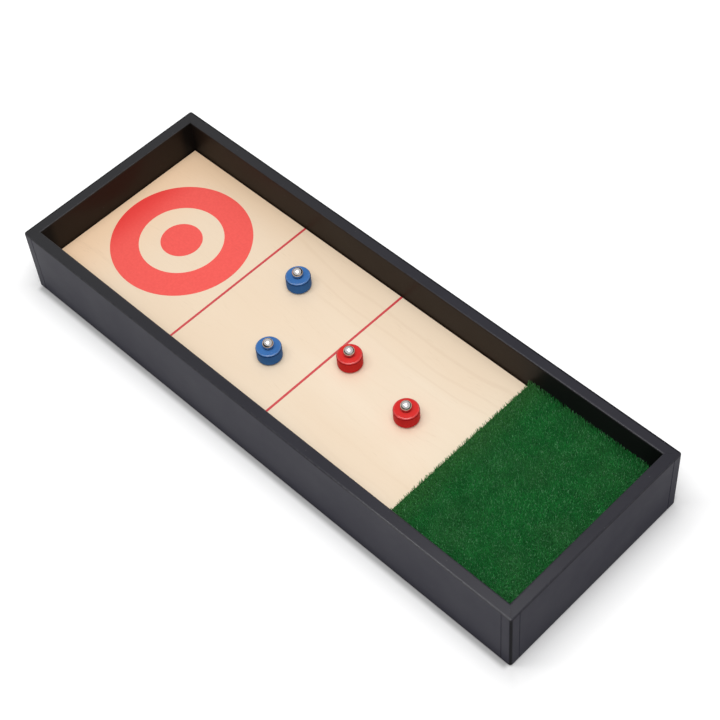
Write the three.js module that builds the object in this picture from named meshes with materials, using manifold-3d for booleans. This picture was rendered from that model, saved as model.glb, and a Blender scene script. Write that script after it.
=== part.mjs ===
// Tabletop curling game
// A black wooden tray with a sunken lane of pale plywood, a printed house and two cross lines,
// a mat of artificial turf at the throwing end, and four stones with steel knobs, each rolling
// on a steel ball held in a cup under its base.
// Frame: origin on the table under the middle of the tray, +X towards the turf, +Y towards the
// far long side, +Z up. Lengths are in millimetres.

import * as THREE from 'three';
import { mergeGeometries, mergeVertices } from 'three/addons/utils/BufferGeometryUtils.js';
import Module from 'manifold-3d';

const wasm = await Module();
wasm.setup();

// Tray
const trayLength = 600;
const trayWidth = 210;
const trayHeight = 75;
const railThickness = 11.5;
const railTopRound = 1.5;
const railBottomRound = 0.6;
const trayCornerRound = 2.4;
const glueLine = 0.1;
const quirkFromCorner = 10.3;
const quirkWidth = 0.7;
const quirkDepth = 0.5;

// Lane
const laneTop = 38.4;
const laneThickness = 5;
const laneShoulder = 2;
const laneShadowGap = 1.2;
const grooveDepth = 4;
const boardClearance = 0.2;
const bearerWidth = 20;

// Corner splines
const splineThickness = 3;
const splineWidth = 8;
const splineHeight = 60;
const splineAboveRebate = 1;
const splineClearance = 0.3;

// Base
const basePanelThickness = 3;
const rebateDepth = 6;
const padHeight = 1;
const padRadius = 8;
const padInset = 14;

// Base screws
const screwLength = 12;
const screwRadius = 1.3;
const screwHeadRadius = 2.6;
const screwHeadHeight = 1.4;
const screwTipLength = 2;
const screwClearance = 0.3;

// Printed markings
const printThickness = 0.15;
const houseRadius = 68;
const houseInnerRadius = 40.7;
const buttonRadius = 20.1;
const houseFromEnd = 10.6;
const houseOffMiddle = 4.8;
const crossLineWidth = 2.3;
const firstLineFromHouse = 10.1;

// Turf
const turfLength = 141.3;
const turfHeight = 9.3;
const turfBackingThickness = 1.5;
const turfThatchThickness = 1.8;
const bladeBaseRadius = 2.6;
const bladeTipRadius = 0.5;

// Stones
const stoneRadius = 11.75;
const stoneHeight = 13.7;
const stoneStandoff = 0.9;
const stoneTopRound = 1.6;
const stoneBottomRound = 1.8;
const knobRadius = 5.25;
const knobSink = 2.15;
const knobSeatGap = 0.3;
const studRadius = 1.5;
const studGap = 0.3;
const studInKnob = 5.5;
const studInStone = 2.4;
const glideBallRadius = 3.5;
const glideBallGap = 0.3;
const cupRadius = 5;
const cupRecess = 0.2;
const cupCrown = 0.9;
const cupFitGap = 0.15;

// How far a cutting shape runs past what it cuts
const overrun = 1;

// Shares of the lane's length and width, from its middle
const secondLineShare = -0.0105;
const stonePlaceShares = [
  { name: 'blue_stone_1', colour: 'blue', along: -0.1497, across: 0.2134 },
  { name: 'blue_stone_2', colour: 'blue', along: -0.082, across: -0.1856 },
  { name: 'red_stone_1', colour: 'red', along: 0.0213, across: 0.038 },
  { name: 'red_stone_2', colour: 'red', along: 0.1562, across: -0.0123 },
];

// Shares of a rail's or the lane's length
const longRailScrewShares = [-0.34, 0, 0.34];
const shortRailScrewShares = [0];
const bearerShares = [-0.17, 0.17];

// Counts
const roundSteps = 3;
const circleSteps = 36;
const stoneSides = 28;
const knobSides = 24;
const smallSides = 16;
const screwSides = 8;
const bladeColumns = 16;
const bladeRows = 24;
const turfSlices = 3;

// Places that follow from the sizes above
const railBottom = padHeight;
const laneBottom = laneTop - laneThickness;
const laneLength = trayLength - 2 * railThickness;
const laneWidth = trayWidth - 2 * railThickness;
const laneFaceLength = laneLength - 2 * laneShadowGap;
const laneFaceWidth = laneWidth - 2 * laneShadowGap;
const tongueTop = laneTop - laneShoulder;
const basePanelTop = railBottom + basePanelThickness;
const rebateTop = basePanelTop + boardClearance;
const splineMiddle = rebateTop + splineAboveRebate + splineHeight / 2;
const turfStart = laneLength / 2 - turfLength;

function finish(colour, roughness, metalness = 0) {
  return new THREE.MeshStandardMaterial({ color: colour, roughness, metalness });
}

const finishes = {
  blackPaint: () => finish('#35343a', 0.42),
  maple: () => finish('#e6cfa8', 0.5),
  rawBoard: () => finish('#a98a62', 0.8),
  felt: () => finish('#26262a', 0.95),
  latex: () => finish('#1c2a20', 0.8),
  turf: () => finish('#17602f', 0.85),
  redInk: () => finish('#df4a48', 0.35),
  red: () => finish('#c8272f', 0.22),
  blue: () => finish('#2a68ad', 0.22),
  polishedSteel: () => finish('#d5d6d8', 0.08, 1),
  plainSteel: () => finish('#8d8f92', 0.4, 1),
  nylon: () => finish('#e4e1d8', 0.55),
};

// Solids

function solidOf(geometry) {
  const bare = geometry.index ? geometry.toNonIndexed() : geometry.clone();
  bare.deleteAttribute('normal');
  bare.deleteAttribute('uv');
  const merged = mergeVertices(bare);
  const corners = merged.index.array;
  const kept = [];
  for (let i = 0; i < corners.length; i += 3) {
    const [a, b, c] = corners.slice(i, i + 3);
    if (a !== b && b !== c && c !== a) kept.push(a, b, c);
  }
  return new wasm.Manifold(new wasm.Mesh({
    numProp: 3,
    vertProperties: merged.attributes.position.array,
    triVerts: new Uint32Array(kept),
  }));
}

function geometryOf(solid) {
  const mesh = solid.getMesh();
  const geometry = new THREE.BufferGeometry();
  geometry.setAttribute('position', new THREE.BufferAttribute(mesh.vertProperties, 3));
  geometry.setIndex(new THREE.BufferAttribute(mesh.triVerts, 1));
  geometry.computeVertexNormals();
  return geometry;
}

function boxSolid(sizeX, sizeY, sizeZ, x, y, z) {
  return solidOf(new THREE.BoxGeometry(sizeX, sizeY, sizeZ).translate(x, y, z));
}

function arc(centreR, centreZ, radius, from, to, steps) {
  return Array.from({ length: steps + 1 }, (_, i) => {
    const angle = from + ((to - from) * i) / steps;
    return new THREE.Vector2(centreR + radius * Math.cos(angle), centreZ + radius * Math.sin(angle));
  });
}

function pointsOf(...pairs) {
  return pairs.map(([r, z]) => new THREE.Vector2(r, z));
}

// A profile of (radius, height) points turned about +Z.
function turned(profile, sides) {
  return new THREE.LatheGeometry(profile, sides).rotateX(Math.PI / 2);
}

function piece(name, geometry, material, x = 0, y = 0, z = 0) {
  const mesh = new THREE.Mesh(geometry, material);
  mesh.name = name;
  mesh.position.set(x, y, z);
  return mesh;
}

function corners() {
  return [[-1, -1], [1, -1], [1, 1], [-1, 1]];
}

// Tray rails

// The rail's cross section: x runs inwards from the outer face, y is the height.
function railProfile() {
  const inner = railThickness;
  const grooveBack = inner - grooveDepth;
  const rebateBack = inner - rebateDepth;
  const grooveTop = tongueTop + boardClearance;
  const grooveFloor = laneBottom - boardClearance;
  const shape = new THREE.Shape();
  shape.moveTo(railBottomRound, railBottom);
  shape.lineTo(rebateBack, railBottom);
  shape.lineTo(rebateBack, rebateTop);
  shape.lineTo(inner, rebateTop);
  shape.lineTo(inner, grooveFloor);
  shape.lineTo(grooveBack, grooveFloor);
  shape.lineTo(grooveBack, grooveTop);
  shape.lineTo(inner, grooveTop);
  shape.lineTo(inner, trayHeight - railTopRound);
  shape.absarc(inner - railTopRound, trayHeight - railTopRound, railTopRound, 0, Math.PI / 2);
  shape.lineTo(railTopRound, trayHeight);
  shape.absarc(railTopRound, trayHeight - railTopRound, railTopRound, Math.PI / 2, Math.PI);
  shape.lineTo(0, railBottom + railBottomRound);
  shape.absarc(railBottomRound, railBottom + railBottomRound, railBottomRound, Math.PI, 1.5 * Math.PI);
  return shape;
}

// The rail seen from above: a trapezium with mitred ends, whose long edge is rounded where it
// meets its neighbours. The outer face lies at y = -reach.
function railPlan(length, reach) {
  const end = (length - glueLine) / 2;
  const depth = railThickness + overrun;
  const round = trayCornerRound;
  const shape = new THREE.Shape();
  shape.moveTo(end - depth, depth - reach);
  shape.lineTo(depth - end, depth - reach);
  shape.absarc(round - end, round - reach, round, 1.25 * Math.PI, 1.5 * Math.PI);
  shape.absarc(end - round, round - reach, round, 1.5 * Math.PI, 1.75 * Math.PI);
  return shape;
}

function splineSlot(side, length, reach) {
  const middle = railThickness / 2;
  return solidOf(new THREE.BoxGeometry(
    splineWidth + 2 * splineClearance,
    splineThickness + 2 * splineClearance,
    splineHeight + 2 * splineClearance,
  ).rotateZ((side * Math.PI) / 4).translate(
    side * (length / 2 - middle),
    middle - reach,
    splineMiddle,
  ));
}

function quirk(side, length, reach) {
  return boxSolid(
    quirkWidth,
    2 * quirkDepth,
    trayHeight + 2 * overrun,
    side * (length / 2 - quirkFromCorner),
    -reach,
    trayHeight / 2,
  );
}

function pilotHole(x, reach) {
  const radius = screwRadius + screwClearance;
  const top = railBottom + screwLength + 2 * screwClearance;
  const height = top - railBottom;
  return solidOf(new THREE.CylinderGeometry(radius, radius, height, screwSides)
    .rotateX(Math.PI / 2)
    .translate(x, railThickness - rebateDepth / 2 - reach, railBottom + height / 2));
}

function railGeometry(length, reach, screwShares) {
  const bar = new THREE.ExtrudeGeometry(railProfile(), {
    depth: length,
    bevelEnabled: false,
    curveSegments: roundSteps,
  });
  bar.rotateX(Math.PI / 2).rotateZ(Math.PI / 2).translate(-length / 2, -reach, 0);
  const plan = new THREE.ExtrudeGeometry(railPlan(length, reach), {
    depth: trayHeight + 2 * overrun,
    bevelEnabled: false,
    curveSegments: roundSteps,
  });
  let rail = solidOf(bar).intersect(solidOf(plan.translate(0, 0, -overrun)));
  for (const side of [-1, 1]) {
    rail = rail.subtract(quirk(side, length, reach));
    rail = rail.subtract(splineSlot(side, length, reach));
  }
  for (const share of screwShares) {
    rail = rail.subtract(pilotHole(share * length, reach));
  }
  return geometryOf(rail);
}

function rails() {
  const group = new THREE.Group();
  const longRail = railGeometry(trayLength, trayWidth / 2, longRailScrewShares);
  const shortRail = railGeometry(trayWidth, trayLength / 2, shortRailScrewShares);
  const sides = [
    ['front_rail', longRail, 0],
    ['turf_end_rail', shortRail, Math.PI / 2],
    ['back_rail', longRail, Math.PI],
    ['house_end_rail', shortRail, -Math.PI / 2],
  ];
  for (const [name, geometry, turn] of sides) {
    const rail = piece(name, geometry, finishes.blackPaint());
    rail.rotation.z = turn;
    group.add(rail);
  }
  return group;
}

function cornerSplines() {
  const group = new THREE.Group();
  const middle = railThickness / 2;
  corners().forEach(([sideX, sideY], i) => {
    const spline = piece(
      `corner_spline_${i + 1}`,
      new THREE.BoxGeometry(splineWidth, splineThickness, splineHeight),
      finishes.rawBoard(),
      sideX * (trayLength / 2 - middle),
      sideY * (trayWidth / 2 - middle),
      splineMiddle,
    );
    spline.rotation.z = (-sideX * sideY * Math.PI) / 4;
    group.add(spline);
  });
  return group;
}

// Lane and what carries it

// The board's face stands clear of the rails all round. Below it a thinner tongue runs on into
// the groove.
function lane() {
  const group = new THREE.Group();
  const reach = grooveDepth - boardClearance;
  const tongueThickness = tongueTop - laneBottom;
  const board = boxSolid(laneFaceLength, laneFaceWidth, laneThickness, 0, 0, laneThickness / 2).add(
    boxSolid(laneLength + 2 * reach, laneWidth + 2 * reach, tongueThickness, 0, 0, tongueThickness / 2),
  );
  group.add(piece('lane_board', geometryOf(board), finishes.maple(), 0, 0, laneBottom));
  const bearerHeight = laneBottom - basePanelTop;
  bearerShares.forEach((share, i) => {
    group.add(piece(
      `lane_bearer_${i + 1}`,
      new THREE.BoxGeometry(bearerWidth, laneWidth - 2 * boardClearance, bearerHeight),
      finishes.rawBoard(),
      share * laneLength,
      0,
      basePanelTop + bearerHeight / 2,
    ));
  });
  return group;
}

function printedDisc(radius, innerRadius) {
  const shape = new THREE.Shape();
  shape.absarc(0, 0, radius, 0, 2 * Math.PI);
  if (innerRadius) {
    const hole = new THREE.Path();
    hole.absarc(0, 0, innerRadius, 0, 2 * Math.PI);
    shape.holes.push(hole);
  }
  return new THREE.ExtrudeGeometry(shape, {
    depth: printThickness,
    bevelEnabled: false,
    curveSegments: circleSteps,
  });
}

function markings() {
  const group = new THREE.Group();
  const houseX = houseFromEnd + houseRadius - laneLength / 2;
  const lineXs = [houseX + houseRadius + firstLineFromHouse, secondLineShare * laneLength];
  const ring = printedDisc(houseRadius, houseInnerRadius);
  group.add(piece('house_ring_print', ring, finishes.redInk(), houseX, houseOffMiddle, laneTop));
  const button = printedDisc(buttonRadius);
  group.add(piece('house_button_print', button, finishes.redInk(), houseX, houseOffMiddle, laneTop));
  lineXs.forEach((x, i) => {
    group.add(piece(
      `cross_line_print_${i + 1}`,
      new THREE.BoxGeometry(crossLineWidth, laneFaceWidth, printThickness),
      finishes.redInk(),
      x,
      0,
      laneTop + printThickness / 2,
    ));
  });
  return group;
}

// Base

function screwHole() {
  const gap = screwClearance;
  const headTop = screwHeadHeight + gap;
  return solidOf(turned(pointsOf(
    [0, -overrun],
    [screwHeadRadius + gap, -overrun],
    [screwHeadRadius + gap, gap],
    [screwRadius + gap, headTop],
    [screwRadius + gap, basePanelThickness + overrun],
    [0, basePanelThickness + overrun],
  ), screwSides));
}

function screwGeometry() {
  return turned(pointsOf(
    [0, 0],
    [screwHeadRadius, 0],
    [screwRadius, screwHeadHeight],
    [screwRadius, screwLength - screwTipLength],
    [0, screwLength],
  ), screwSides);
}

function screwPlaces() {
  const fromEdge = railThickness - rebateDepth / 2;
  const places = [];
  for (const side of [-1, 1]) {
    for (const share of longRailScrewShares) {
      places.push([share * trayLength, side * (trayWidth / 2 - fromEdge)]);
    }
    for (const share of shortRailScrewShares) {
      places.push([side * (trayLength / 2 - fromEdge), share * trayWidth]);
    }
  }
  return places;
}

function base() {
  const group = new THREE.Group();
  const reach = rebateDepth - boardClearance;
  let panel = boxSolid(
    laneLength + 2 * reach,
    laneWidth + 2 * reach,
    basePanelThickness,
    0,
    0,
    basePanelThickness / 2,
  );
  screwPlaces().forEach(([x, y], i) => {
    panel = panel.subtract(screwHole().translate(x, y, 0));
    const screw = piece(`base_screw_${i + 1}`, screwGeometry(), finishes.plainSteel(), x, y);
    screw.position.z = railBottom + screwClearance;
    group.add(screw);
  });
  group.add(piece('base_panel', geometryOf(panel), finishes.rawBoard(), 0, 0, railBottom));
  return group;
}

function pads() {
  const group = new THREE.Group();
  corners().forEach(([sideX, sideY], i) => {
    const pad = new THREE.CylinderGeometry(padRadius, padRadius, padHeight, smallSides);
    group.add(piece(
      `felt_pad_${i + 1}`,
      pad.rotateX(Math.PI / 2),
      finishes.felt(),
      sideX * (trayLength / 2 - padInset),
      sideY * (trayWidth / 2 - padInset),
      padHeight / 2,
    ));
  });
  return group;
}

// Turf

// A number from 0 to 1 that looks random and is the same for the same blade.
function scatter(column, row, salt) {
  const wave = Math.sin(column * 12.9898 + row * 78.233 + salt * 37.719) * 43758.5453;
  return wave - Math.floor(wave);
}

// A blade tapers from a three-sided foot inside the thatch to a narrow tip, and leans. Foot,
// lean and tip stay inside the blade's own cell, so no blade crosses another.
function blade(column, row, cellX, cellY, turfWidth) {
  const thatchTop = turfBackingThickness + turfThatchThickness;
  const foot = thatchTop - turfThatchThickness / 2;
  const height = turfHeight - foot;
  const spare = Math.min(cellX, cellY) / 2 - bladeBaseRadius;
  const swing = 2 * Math.PI * scatter(column, row, 1);
  const lean = spare * (0.2 + 0.35 * scatter(column, row, 2));
  const drift = spare * 0.35;
  const x = (column + 0.5) * cellX + drift * (2 * scatter(column, row, 3) - 1);
  const y = (row + 0.5) * cellY - turfWidth / 2 + drift * (2 * scatter(column, row, 4) - 1);
  const slopeX = (lean * Math.cos(swing)) / height;
  const slopeY = (lean * Math.sin(swing)) / height;
  const shear = new THREE.Matrix4().set(
    1, 0, slopeX, x,
    0, 1, slopeY, y,
    0, 0, 1, foot,
    0, 0, 0, 1,
  );
  return new THREE.CylinderGeometry(bladeTipRadius, bladeBaseRadius, height, 3)
    .rotateX(Math.PI / 2)
    .rotateZ(swing)
    .translate(0, 0, height / 2)
    .applyMatrix4(shear);
}

function turf() {
  const group = new THREE.Group();
  const turfWidth = laneWidth - 2 * boardClearance;
  const length = turfLength - boardClearance;
  const middleX = length / 2;
  const backing = new THREE.BoxGeometry(length, turfWidth, turfBackingThickness);
  backing.translate(middleX, 0, turfBackingThickness / 2);
  group.add(piece('turf_backing', backing, finishes.latex()));
  const cellX = length / bladeColumns;
  const cellY = turfWidth / bladeRows;
  const rowsPerSlice = bladeRows / turfSlices;
  for (let slice = 0; slice < turfSlices; slice += 1) {
    const firstRow = slice * rowsPerSlice;
    const sliceWidth = rowsPerSlice * cellY;
    const thatch = boxSolid(
      length,
      sliceWidth,
      turfThatchThickness,
      middleX,
      firstRow * cellY + sliceWidth / 2 - turfWidth / 2,
      turfBackingThickness + turfThatchThickness / 2,
    );
    const blades = [];
    for (let row = firstRow; row < firstRow + rowsPerSlice; row += 1) {
      for (let column = 0; column < bladeColumns; column += 1) {
        blades.push(blade(column, row, cellX, cellY, turfWidth));
      }
    }
    const pile = thatch.add(solidOf(mergeGeometries(blades)));
    group.add(piece(`turf_pile_${slice + 1}`, geometryOf(pile), finishes.turf()));
  }
  group.position.set(turfStart, 0, laneTop);
  return group;
}

// Stones, with z = 0 at the lane's surface

const stoneTop = stoneStandoff + stoneHeight;
const knobCentre = stoneTop + knobRadius - knobSink;
const glideCentre = glideBallGap + glideBallRadius;
const cavityRadius = glideBallRadius + glideBallGap;
const cupTop = glideCentre + cavityRadius + cupCrown;
const studFloor = knobCentre - knobRadius - studInStone;

function stoneBodyGeometry() {
  const boreRadius = cupRadius + cupFitGap;
  const holeRadius = studRadius + studGap;
  const seatRadius = knobRadius + knobSeatGap;
  const seatMouth = Math.asin((stoneTop - knobCentre) / seatRadius);
  const seatFoot = -Math.acos(holeRadius / seatRadius);
  return turned([
    ...pointsOf([0, cupTop + cupFitGap], [boreRadius, cupTop + cupFitGap], [boreRadius, stoneStandoff]),
    ...arc(stoneRadius - stoneBottomRound, stoneStandoff + stoneBottomRound, stoneBottomRound,
      -Math.PI / 2, 0, roundSteps),
    ...arc(stoneRadius - stoneTopRound, stoneTop - stoneTopRound, stoneTopRound,
      0, Math.PI / 2, roundSteps),
    ...arc(0, knobCentre, seatRadius, seatMouth, seatFoot, roundSteps),
    ...pointsOf([holeRadius, studFloor - studGap], [0, studFloor - studGap]),
  ], stoneSides);
}

function knobGeometry() {
  const holeRadius = studRadius + studGap;
  const mouth = -Math.acos(holeRadius / knobRadius);
  const holeTop = knobCentre - knobRadius + studInKnob + studGap;
  return turned([
    ...pointsOf([0, holeTop], [holeRadius, holeTop]),
    ...arc(0, knobCentre, knobRadius, mouth, Math.PI / 2, 3 * roundSteps),
  ], knobSides);
}

function studGeometry() {
  const top = knobCentre - knobRadius + studInKnob;
  return turned(pointsOf([0, studFloor], [studRadius, studFloor], [studRadius, top], [0, top]), screwSides);
}

// A snap-in cup whose round cavity closes below the ball's middle, so the ball can't drop out.
function cupGeometry() {
  const bottom = stoneStandoff + cupRecess;
  const mouth = Math.asin((bottom - glideCentre) / cavityRadius);
  return turned([
    ...arc(0, glideCentre, cavityRadius, Math.PI / 2, mouth, 2 * roundSteps),
    ...pointsOf([cupRadius, bottom], [cupRadius, cupTop], [0, cupTop]),
  ], smallSides);
}

function glideBallGeometry() {
  const outline = arc(0, glideCentre, glideBallRadius, -Math.PI / 2, Math.PI / 2, 2 * roundSteps);
  return turned(outline, smallSides);
}

function stone({ name, colour, along, across }) {
  const group = new THREE.Group();
  group.add(piece(`${name}_body`, stoneBodyGeometry(), finishes[colour]()));
  group.add(piece(`${name}_knob`, knobGeometry(), finishes.polishedSteel()));
  group.add(piece(`${name}_knob_stud`, studGeometry(), finishes.plainSteel()));
  group.add(piece(`${name}_ball_cup`, cupGeometry(), finishes.nylon()));
  group.add(piece(`${name}_glide_ball`, glideBallGeometry(), finishes.polishedSteel()));
  group.position.set(along * laneLength, across * laneWidth, laneTop);
  return group;
}

const game = new THREE.Group();
game.add(rails(), cornerSplines(), lane(), markings(), base(), pads(), turf());
for (const place of stonePlaceShares) {
  game.add(stone(place));
}

export default game;
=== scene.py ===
import math

import bpy
import numpy as np
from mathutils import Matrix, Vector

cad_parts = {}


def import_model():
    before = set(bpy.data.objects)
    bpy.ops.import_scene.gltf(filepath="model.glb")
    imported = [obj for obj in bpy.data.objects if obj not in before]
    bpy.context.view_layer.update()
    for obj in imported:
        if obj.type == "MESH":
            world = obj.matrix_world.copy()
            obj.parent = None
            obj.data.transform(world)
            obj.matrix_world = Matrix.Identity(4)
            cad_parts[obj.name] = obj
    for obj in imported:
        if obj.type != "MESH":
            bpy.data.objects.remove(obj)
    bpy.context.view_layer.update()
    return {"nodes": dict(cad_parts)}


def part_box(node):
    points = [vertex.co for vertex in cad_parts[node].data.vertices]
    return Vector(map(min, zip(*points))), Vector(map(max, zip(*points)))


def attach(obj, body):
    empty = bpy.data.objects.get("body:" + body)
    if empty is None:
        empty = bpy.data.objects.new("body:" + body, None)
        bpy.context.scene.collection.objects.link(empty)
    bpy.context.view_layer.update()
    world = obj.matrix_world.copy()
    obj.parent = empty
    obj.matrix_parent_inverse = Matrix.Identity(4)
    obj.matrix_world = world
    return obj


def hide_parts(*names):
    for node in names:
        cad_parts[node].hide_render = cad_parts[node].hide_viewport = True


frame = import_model()

# Tabletop curling game: black tray, pale lane with a printed house, turf mat and four rolling stones.
# Lengths are in millimetres, in the part's own frame, and meshes are written in metres.
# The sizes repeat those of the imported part.

PER_METRE = 1000.0
MM = 1 / PER_METRE

TRAY_LENGTH = 600.0
TRAY_WIDTH = 210.0
TRAY_HEIGHT = 75.0
RAIL_THICKNESS = 11.5
RAIL_TOP_ROUND = 1.5
RAIL_FOOT_ROUND = 0.6
RAIL_FOOT = 1.0
CORNER_ROUND = 2.4
CORNER_STEPS = 7
WEAR_RAMP = (0.08, 0.92)
GLUE_LINE = 0.1
QUIRK_FROM_CORNER = 10.3
QUIRK_HALF_WIDTH = 0.5
QUIRK_DEPTH = 0.5
QUIRK_SPAN = 1.6
QUIRK_CLEARANCE = 3.0
MITRE_ZONE = 7.5
REBATE_TOP = 4.2
REBATE_DEPTH = 6.0
GROOVE_FLOOR = 33.2
GROOVE_TOP = 36.6
GROOVE_DEPTH = 4.0
LIP_ROUND = 0.25

LANE_TOP = 38.4
LANE_LENGTH = TRAY_LENGTH - 2 * RAIL_THICKNESS
LANE_WIDTH = TRAY_WIDTH - 2 * RAIL_THICKNESS
LANE_SHADOW_GAP = 1.2
PRINT_THICKNESS = 0.15
PRINT_ROUND = PRINT_THICKNESS / 2.5
PRINT_MARGIN = 0.05
PRINT_SIDES = 256
HOUSE_RADIUS = 68.0
HOUSE_INNER_RADIUS = 40.7
BUTTON_RADIUS = 20.1
HOUSE_X, HOUSE_Y = -209.9, 4.8
LINE_WIDTH = 2.3
LINE_PLACES = (-131.8, -6.06)

TURF_START = 147.2
TURF_TOP = 9.3
TURF_SLICES = 3
TURF_SIDE_GAP = 0.2
TURF_MARGIN = 0.3
TURF_SEED = 41
THATCH_SETBACK = 0.25
THATCH_FOOT = 1.5
THATCH_TOP = 5.4
THATCH_OVERLAP = 2.5
THATCH_DIP = 1.6
THATCH_WAVE = 0.35
THATCH_SHAKE = 0.45
THATCH_TONES = (0.2, 0.6)
FIBRES_PER_SLICE = 10800
ROOT_DEPTH = 2.2
ROOT_END_MARGIN = 0.8
FIBRE_REACH = (2.2, 0.75)
FIBRE_HEIGHTS = (0.78, 1.0)
FIBRE_DROOP = 0.09
FIBRE_CURVE = 1.6
FIBRE_WIDTHS = (0.42, 0.72)
FIBRE_CORNERS = np.array([0.0, 2.3, 4.0])
FIBRE_TAPER = ((0, 1.0), (0.45, 0.85), (0.8, 0.62))
SPILL = 1.6
SPILL_ROW = 2.6
SPILL_LEAN = 1.3
SPILL_SWAY = 0.5
SPILL_LEAST = 0.6
SPILL_WIDER = 0.6
SPILL_DARKER = 0.25
TUFT_RATE = 3.1
TUFT_WANDER = ((1.7, 0.63, 0.0), (1.1, 1.37, 2.0))
TUFT_LEAST = 0.6
SWELL = 3.2
SWELL_WIDTH = 9.0

STONE_RADIUS = 11.75
STONE_STANDOFF = 0.9
STONE_TOP = 14.6
STONE_TOP_ROUND = 1.6
STONE_FOOT_ROUND = 1.8
KNOB_RADIUS = 5.25
KNOB_CENTRE = 17.7
KNOB_SEAT_GAP = 0.3
SEAT_LIP_ROUND = 0.2
SEAT_STEPS = 12
STUD_RADIUS = 1.5
STUD_HOLE_RADIUS = 1.8
STUD_FLOOR = 10.05
STUD_TOP = 17.95
STUD_END_GAP = 0.3
STUD_THREAD = 0.3
STUD_PITCH = 0.5
GLIDE_RADIUS = 3.5
GLIDE_CENTRE = 3.8
CUP_RADIUS = 5.0
CUP_CAVITY = 3.8
CUP_FOOT = 1.1
CUP_TOP = 8.5
CUP_FIT = 0.15
CUP_FOOT_ROUND = 0.25
CUP_TOP_ROUND = 0.4

TOP_GLOSS = 0.44
SIDE_GLOSS = 0.155
END_GLOSS = 0.065
INNER_GLOSS = 0.06
GLOSS_FADE_STEPS = 3
BACK_GLOSS_POWER = 16
PAINTED_SHADE_EDGE = 0.9
GLINT_START = 70.0
GLINT_RUN = 80.0
NOOK_START = 28.0
NOOK_DEPTH = 7.0

SCREWS = 8
SCREW_LENGTH = 12.0
SCREW_HEAD_RADIUS = 2.6
SCREW_HEAD_HEIGHT = 1.4
SCREW_CORE_RADIUS = 1.0
SCREW_THREAD = 0.35
SCREW_PITCH = 1.1
SCREW_EDGE = (0.12, 0.25)
SCREW_NECK = (SCREW_CORE_RADIUS + 0.1, 1.38)
SCREW_POINT = 2.4
SCREW_BLUNTNESS = 0.7
THREAD_START = 1.6
THREAD_RUN_IN = 1.2
RECESS_DEPTH = 1.1
RECESS_HALF_WIDTH = 0.42
RECESS_SIDE_SLOPE = 0.16
RECESS_ARM = 1.55
RECESS_END_SLOPE = 0.5
PADS = 4
PAD_RADIUS = 8.0
PAD_HEIGHT = 1.0
PAD_ROUND = 0.3
PAD_WAVER = 0.006
PAD_SIDES = 72

# The studio's lengths are in metres; a lift is a share of white.
FLOOR_REACH = 12.0
FLOOR_LEVEL = -0.0002
FLOOR_LIFT = (0.28, 0.1)
LIFT_REACH = 0.045
FAR_LIFT = 0.65
WORLD_LIGHT = 0.24

STONES = {
    "blue_stone_1": (-86.38, 39.91),
    "blue_stone_2": (-47.31, -34.71),
    "red_stone_1": (12.29, 7.11),
    "red_stone_2": (90.13, -2.30),
}


# Surfaces

def closed_grid(rows, columns, loop=False):
    """Four-sided faces of a grid whose columns close on themselves, and whose rows do in a loop.

    Face (i, j) joins points (i, j), (i, j+1), (i+1, j+1) and (i+1, j), counted modulo the grid.
    """
    i = np.arange(rows if loop else rows - 1)[:, None]
    j = np.arange(columns)[None, :]
    below, above = i * columns, ((i + 1) % rows) * columns
    after = (j + 1) % columns
    return np.stack([below + j, below + after, above + after, above + j], axis=-1).reshape(-1, 4)


def end_faces(rows, columns):
    """The first and last rows of a grid as two faces that look outwards."""
    last = (rows - 1) * columns
    return [np.arange(columns)[::-1], last + np.arange(columns)]


def placed(name, data):
    """A new object in the scene that holds this data."""
    made = bpy.data.objects.new(name, data)
    bpy.context.scene.collection.objects.link(made)
    return made


def shell(name, points, faces, ends=(), marks=None, crease=35):
    """A mesh object from points in millimetres, four-sided faces and many-sided end faces.

    Points closer than a ten-thousandth of a millimetre are welded to one, and a face keeps only
    the corners that differ from the next, so that poles and mitres close with triangles.
    """
    keys = np.round(points * 1e4).astype(np.int64)
    _, first, place = np.unique(keys, axis=0, return_index=True, return_inverse=True)
    place = place.reshape(-1)
    faces = place[faces]
    corners = faces != np.roll(faces, -1, axis=1)
    sides = corners.sum(axis=1)
    kept = sides > 2
    loops = [faces[kept][corners[kept]]]
    counts = [sides[kept]]
    for end in ends:
        ring = place[np.asarray(end)]
        ring = ring[ring != np.roll(ring, -1)]
        loops.append(ring)
        counts.append(np.array([len(ring)]))
    loops, counts = np.concatenate(loops), np.concatenate(counts)
    mesh = bpy.data.meshes.new(name)
    mesh.vertices.add(len(first))
    mesh.vertices.foreach_set("co", (points[first] * MM).astype(np.float32).ravel())
    mesh.loops.add(len(loops))
    mesh.loops.foreach_set("vertex_index", loops.astype(np.int32))
    mesh.polygons.add(len(counts))
    mesh.polygons.foreach_set("loop_start", (np.cumsum(counts) - counts).astype(np.int32))
    for mark, values in (marks or {}).items():
        kind = "FLOAT_VECTOR" if values.ndim == 2 else "FLOAT"
        attribute = mesh.attributes.new(mark, kind, "POINT")
        field = "vector" if values.ndim == 2 else "value"
        attribute.data.foreach_set(field, values[first].astype(np.float32).ravel())
    mesh.update(calc_edges=True)
    mesh.validate()
    mesh.shade_smooth()
    mesh.set_sharp_from_angle(angle=math.radians(crease))
    return placed(name, mesh)


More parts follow.
